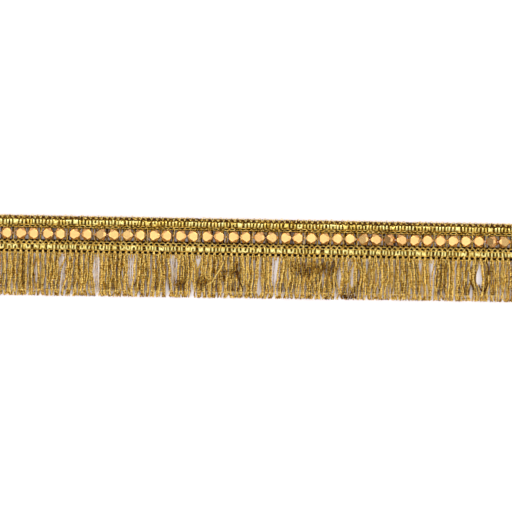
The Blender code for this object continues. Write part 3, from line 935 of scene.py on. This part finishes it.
def bead_centre(step):
    x = MIDDLE_BEAD_X + BEAD_PITCH * step - BEAD_CROWDING * step * step
    if not in_loose_run(step):
        x += bead_side(step) * PAIR_DRAW
    tilt = abs(bead_tilt(step))
    table_half_width = BEAD_TABLE_RADIUS * math.cos(math.pi / 6) * BEAD_STRETCH
    rise = BEAD_HALF_THICKNESS * math.cos(tilt) + table_half_width * math.sin(tilt)
    return Vector((x, row_y(LADDER_DROP), GROUND_TOP + SEAT_GAP + rise))


def faceted_bead():
    """A six-sided table above and below, each with a facet that slopes to a shoulder at the bore's
    mouth, and triangular facets round the girdle. The edges are eased as the mould leaves them."""
    kept_along, kept_across = 0.97, 1.1
    girdle_x, girdle_y = 1.5 * MM, 2.9 * MM
    shoulder_x, shoulder_y, shoulder_z = 2.95 * MM, 0.35 * MM, 1.6 * MM
    mouth_x, mouth_radius = 2.97 * MM, 0.5 * MM
    corners = []
    for side in range(6):
        angle = math.pi / 6 + side * math.pi / 3
        x = BEAD_TABLE_RADIUS * math.cos(angle) * BEAD_STRETCH * kept_along
        y = BEAD_TABLE_RADIUS * math.sin(angle) * kept_across
        corners += [(x, y, BEAD_HALF_THICKNESS), (x, y, -BEAD_HALF_THICKNESS)]
    for x in (-girdle_x, girdle_x):
        corners += [(x, -girdle_y, 0.0), (x, girdle_y, 0.0)]
    for x in (-shoulder_x, shoulder_x):
        for y in (-shoulder_y, shoulder_y):
            corners += [(x, y, shoulder_z), (x, y, -shoulder_z)]
    for x in (-mouth_x, mouth_x):
        for side in range(6):
            angle = side * math.pi / 3
            corners.append((x, mouth_radius * math.cos(angle), mouth_radius * math.sin(angle)))
    bm = bmesh.new()
    for corner in corners:
        bm.verts.new(corner)
    bmesh.ops.convex_hull(bm, input=bm.verts)
    bmesh.ops.dissolve_limit(bm, angle_limit=math.radians(2), verts=bm.verts, edges=bm.edges)
    ends = [face for face in bm.faces if abs(face.calc_center_median().x) > mouth_x - 0.01 * MM]
    rims = [edge for face in ends for edge in face.edges]
    bmesh.ops.delete(bm, geom=ends, context="FACES_ONLY")
    bmesh.ops.bridge_loops(bm, edges=rims)
    bmesh.ops.bevel(
        bm, geom=bm.edges[:], offset=0.07 * MM, segments=1, affect="EDGES", profile=0.5
    )
    bmesh.ops.recalc_face_normals(bm, faces=bm.faces)
    # Each facet's painted shade, by the way it faces
    shares = [facet_light_share(face.normal) for face in bm.faces]
    bead = mesh_object("faceted_bead", bm)
    bead.data.attributes.new("plating", "FLOAT", "FACE").data.foreach_set("value", shares)
    return bead


def facet_light_share(normal):
    """How much of the bright gold a facet keeps, by the way it faces: full on the tables, a little
    less on the sloping tips, and less round the girdle and the mouths; the brown between is painted
    shade."""
    if abs(normal.z) > 0.95:
        return 1.0
    if abs(normal.z) > 0.55 and abs(normal.y) < 0.3:
        return 0.92
    return 0.4


def make_beads():
    points = [tuple(bead_centre(step)) for step in bead_steps()]
    turns = [(0, bead_tilt(step), 0) for step in bead_steps()]
    beads = pieces_at(
        "plated_beads", points, [faceted_bead()], PLATED_ACRYLIC, turns=turns,
        turn_spread=(0.05, 0.0, 0.03), seed=31,
    )
    nodes = [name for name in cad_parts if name.startswith("bead_") and name != "bead_string"]
    dressed(beads, "plated_bead", *nodes)


def link_thread(link, rng):
    """A thread of the header that crosses a link of the string, from chain to chain."""
    slant = rng.uniform(-0.6, 0.6) * MM
    over = link.z + STRING_RADIUS + 0.2 * MM
    shoulder = (over + 1.6 * MM) / 2
    return [
        (link.x - slant, row_y(5.2 * MM), 1.5 * MM),
        (link.x - slant / 2, row_y(7.4 * MM), shoulder),
        (link.x, row_y(LADDER_DROP), over),
        (link.x + slant / 2, row_y(10.6 * MM), shoulder),
        (link.x + slant, row_y(13.0 * MM), 1.5 * MM),
    ]


def make_bead_string():
    """The thread through the beads, and the threads that cross it: over every link of a loose
    run, and elsewhere only over those between two pairs, where the beads leave room."""
    mouth = 2.6 * MM
    axis_y = row_y(LADDER_DROP)
    low = GROUND_TOP + SEAT_GAP + STRING_RADIUS
    points = [Vector((LEFT_END + 0.4 * MM, axis_y, low))]
    for step in bead_steps():
        tilt = bead_tilt(step)
        axis = Vector((math.cos(tilt), 0, -math.sin(tilt)))
        points += [bead_centre(step) - axis * mouth, bead_centre(step) + axis * mouth]
    points.append(Vector((RIGHT_END - 0.4 * MM, axis_y, low)))
    string = threads("bead_thread", [(points, PLAIN_TONE)], BEAD_THREAD)
    dressed(string, "bead_thread", "bead_string")
    rng = random.Random(8)
    crossing = []
    for step, left, right in zip(bead_steps(), points[2:-1:2], points[3:-1:2]):
        if bead_side(step) < 0 or in_loose_run(step):
            line = link_thread((left + right) / 2, rng)
            crossing.append((line, rng.uniform(*TONES["link_threads"])))
    dressed(threads("link_threads", crossing, KNIT_THREAD), "knit_ground")


# Fringe
def fringe_threads(kind, lines):
    dressed(threads(kind, lines, FRINGE_CORD), "fringe_cord")


def parted(x, level):
    """Where a strand rooted at x lies at a level, pushed aside by the partings near it."""
    moved = x
    for parting in PARTINGS:
        away = x - parting["x"] * MM
        push = math.copysign(parting[level] * MM / 2, away)
        drift = parting["lean"] * MM * LEVELS[level]
        moved += (push + drift) * math.exp(-abs(away) / PART_REACH)
    return moved


def clear_of_partings(at):
    """Whether a hair, known by its place at each level, keeps out of every wide parting."""
    for parting in PARTINGS:
        for level, share in LEVELS.items():
            away = abs(at[level] / MM - parting["x"] - parting["lean"] * share)
            if parting[level] > WIDE_PARTING and away < parting[level] / 2:
                return False
    return True


def spaced(places):
    """The same places, each at least one cord from the one before and inside the trim."""
    least = LEFT_END + CORD_SPACING / 2
    most = RIGHT_END - CORD_SPACING / 2
    for index, place in enumerate(places):
        places[index] = max(place, least)
        least = places[index] + CORD_SPACING
    for index in reversed(range(len(places))):
        places[index] = min(places[index], most)
        most = places[index] - CORD_SPACING
    return places


def fringe_length(x):
    """The strands are a little longer towards the left end."""
    return FRINGE_LEFT + (FRINGE_RIGHT - FRINGE_LEFT) * (x / LENGTH + 0.5)


def tangle_shade(point):
    """How much painted shade a point of a cord takes from the tangles."""
    deepest = 0.0
    for x, y, reach_x, reach_y, depth, _ in TANGLES:
        away_x = (point[0] / MM - x) / reach_x
        away_y = (point[1] / MM - y) / reach_y
        deepest = max(deepest, depth * math.exp(-(away_x**2) - away_y**2))
    return deepest


def between_levels(at, share):
    """A value at a share of the length, eased between its values at the levels."""
    names = list(LEVELS)
    for low, high in zip(names, names[1:]):
        if share <= LEVELS[high]:
            part = (share - LEVELS[low]) / (LEVELS[high] - LEVELS[low])
            eased = part * part * (3 - 2 * part)
            return at[low] + (at[high] - at[low]) * eased
    return at["tip"]


def strand(at, height, first, last, rng, sway, count=CORD_POINTS):
    """Points of a strand from one share of the length to another, a little off its way."""
    length = fringe_length(at["tip"])
    points = []
    for step in range(count):
        share = first + (last - first) * step / (count - 1)
        x = between_levels(at, share) + rng.uniform(-sway, sway)
        z = height + rng.uniform(-0.08, 0.12) * MM
        points.append((x, FRINGE_ROOT_Y - length * share, z))
    return points


def cut_end(hold, tip_x, length, height, tone, rng):
    """One ply of a cord's cut end: bright where the hold stitch gathers it, then flared."""
    tip_x += rng.uniform(-0.55, 0.55) * MM
    tip_y = FRINGE_ROOT_Y - length - rng.uniform(-0.1, 0.6) * MM
    tip = Vector((tip_x, tip_y, max(0.35 * MM, height + rng.uniform(-0.3, 0.2) * MM)))
    start = hold + Vector((rng.uniform(-0.2, 0.2), 0.25, 0.1)) * MM
    middle = (start + tip) / 2
    middle.x += rng.uniform(-0.3, 0.3) * MM
    plain = tone * 0.5 + rng.uniform(-0.15, 0.5)
    points = [tuple(start), tuple(middle), tuple(tip)]
    tones = [plain + 0.7, plain, plain - 0.15]
    # Each tone loses the tangles' painted shade
    return points, [own - tangle_shade(point) for own, point in zip(tones, points)]


def make_cords(rng):
    """Three cords to a stitch, one in each layer, down to the hold stitch, and their cut ends."""
    root_tuck, waver, tone_waver = 0.35 * MM, 0.24 * MM, 0.3
    ends = []
    for layer, made in CORD_LAYERS.items():
        height = made["height"]
        places = {}
        for level in LEVELS:
            offset = made["start"] if level == "root" else made["hang"] * SPREAD_KEPT[level]
            sway = 0.0 if level == "root" else CORD_SWAY
            roots = [stitch_x(stitch) + offset for stitch in range(STITCHES)]
            places[level] = spaced([parted(x, level) + rng.uniform(-sway, sway) for x in roots])
        lines = []
        for stitch in range(STITCHES):
            at = {level: places[level][stitch] for level in LEVELS}
            tone = rng.random()
            points = strand(at, height, 0.0, LEVELS["hold"], rng, waver)
            points.insert(0, (at["root"], FRINGE_ROOT_Y + root_tuck, height))
            # Each tone loses the tangles' painted shade
            tones = [tone - tangle_shade(point) + rng.uniform(-tone_waver, tone_waver) for point in points]
            lines.append((points, tones))
            length = fringe_length(at["tip"])
            hold = Vector(points[-1])
            for _ in range(PLIES_PER_END):
                ends.append(cut_end(hold, at["tip"], length, height, tone, rng))
        cords = threads("fringe_cords", lines, FRINGE_CORD, f"fringe_cords_{layer}")
        dressed(cords, "fringe_cord", *(("fringe",) if layer == "upper" else ()))
    fringe_threads("fringe_cut_ends", ends)


def make_hairs(rng):
    """Fine hairs, some bright and some dark, the dark ones painted shade between the cords: many
    between and over the cords, kept out of the wide partings, and the few that are left in each
    parting."""
    margin, shortest = 2 * MM, 0.7
    hairs = []
    for _ in range(LOOSE_HAIRS):
        root = rng.uniform(LEFT_END + margin, RIGHT_END - margin)
        at = {level: parted(root, level) + rng.uniform(-1.0, 1.0) * MM for level in LEVELS}
        height = rng.uniform(0.4, 1.8) * MM
        points = strand(at, height, 0.0, rng.uniform(shortest, 1.0), rng, 0.35 * MM)
        # The dark end of the hairs' tones is painted shade between the cords
        tone = rng.uniform(*TONES["fringe_loose_hairs"])
        if clear_of_partings(at):
            hairs.append((points, tone))
    for parting in PARTINGS:
        for _ in range(parting["hairs"]):
            side = rng.uniform(-1, 1)
            at = {
                level: (parting["x"] + parting["lean"] * share + parting[level] / 2 * side) * MM
                for level, share in LEVELS.items()
            }
            points = strand(at, 0.5 * MM, 0.0, rng.uniform(shortest, 1.0), rng, 0.15 * MM)
            hairs.append((points, rng.uniform(*TONES["parting_hairs"])))
    fringe_threads("fringe_loose_hairs", hairs)


def make_shade_threads(rng):
    """Dark threads as painted shade: a few between the cords above the hold stitch, and those
    across the tangles.
    """
    dull = []
    for stitch in range(1, STITCHES):
        foot = parted(stitch_x(stitch) - STITCH_PITCH / 2 + rng.uniform(-0.6, 0.6) * MM, "hold")
        for _ in range(rng.choice(SHADE_THREADS_PER_STITCH)):
            slant = rng.uniform(-1.3, 1.3) * MM
            at = {"root": foot + slant, "belly": foot + slant, "hold": foot, "tip": foot}
            first = rng.uniform(0.62, 0.82)
            points = strand(at, 1.85 * MM, first, LEVELS["hold"] - 0.02, rng, 0.1 * MM, count=4)
            dull.append((points, rng.uniform(*TONES["fringe_core_threads"])))
    for x, y, reach_x, reach_y, _, count in TANGLES:
        for _ in range(count):
            bend = Vector((x + rng.uniform(-reach_x, reach_x), y + rng.uniform(-reach_y, reach_y)))
            half = Vector((rng.uniform(-1.2, 1.2), rng.uniform(0.8, 2.2)))
            points = [
                (bend.x - half.x, bend.y + half.y),
                (bend.x + rng.uniform(-0.4, 0.4), bend.y),
                (bend.x + half.x, max(bend.y - half.y, LOWEST_TANGLE)),
            ]
            tone = rng.uniform(*TONES["tangle_shade_threads"])
            dull.append((laid_over(points, PULLED_HEIGHT), tone))
    fringe_threads("fringe_core_threads", dull)


def laid_over(points, height):
    """Points of x and y in millimetres, laid on top of the cords at a height in metres."""
    return [(x * MM, y * MM, height) for x, y in points]


def make_pulled_threads():
    bent = [(laid_over(points, PULLED_HEIGHT), BARE_CORE_TONE) for points in PULLED_THREADS]
    fringe_threads("pulled_core_threads", bent)
    fringe_threads("stray_thread", [(laid_over(STRAY_THREAD, STRAY_HEIGHT), STRAY_TONE)])


def make_hold_stitch(rng):
    """The stitch across the strands near their ends: short bright runs, two to a stitch of the
    header, and none of them over a wide parting."""
    margin = 0.2 * MM
    runs = []
    for stitch in range(2 * STITCHES):
        x = LEFT_END + (stitch + 0.5) * STITCH_PITCH / 2
        middle = parted(x, "hold")
        half = rng.uniform(0.25, 0.6) * MM
        y = FRINGE_ROOT_Y - fringe_length(x) * LEVELS["hold"] + rng.uniform(-0.15, 0.15) * MM
        left = max(LEFT_END + margin, middle - half)
        right = min(RIGHT_END - margin, middle + half)
        points = [(left, y, 1.5 * MM), ((left + right) / 2, y, 2.0 * MM), (right, y, 1.5 * MM)]
        runs.append((points, rng.uniform(*TONES["hold_stitch"])))
    fringe_threads("hold_stitch", runs)


def make_fringe():
    rng = random.Random(12)
    make_cords(rng)
    make_hairs(rng)
    make_shade_threads(rng)
    make_pulled_threads()
    make_hold_stitch(rng)


make_camera()
make_lights()
make_floor()
ground_cloth = make_ground()
make_chains()
make_foils()
make_header_threads()
make_beads()
make_bead_string()
make_fringe()
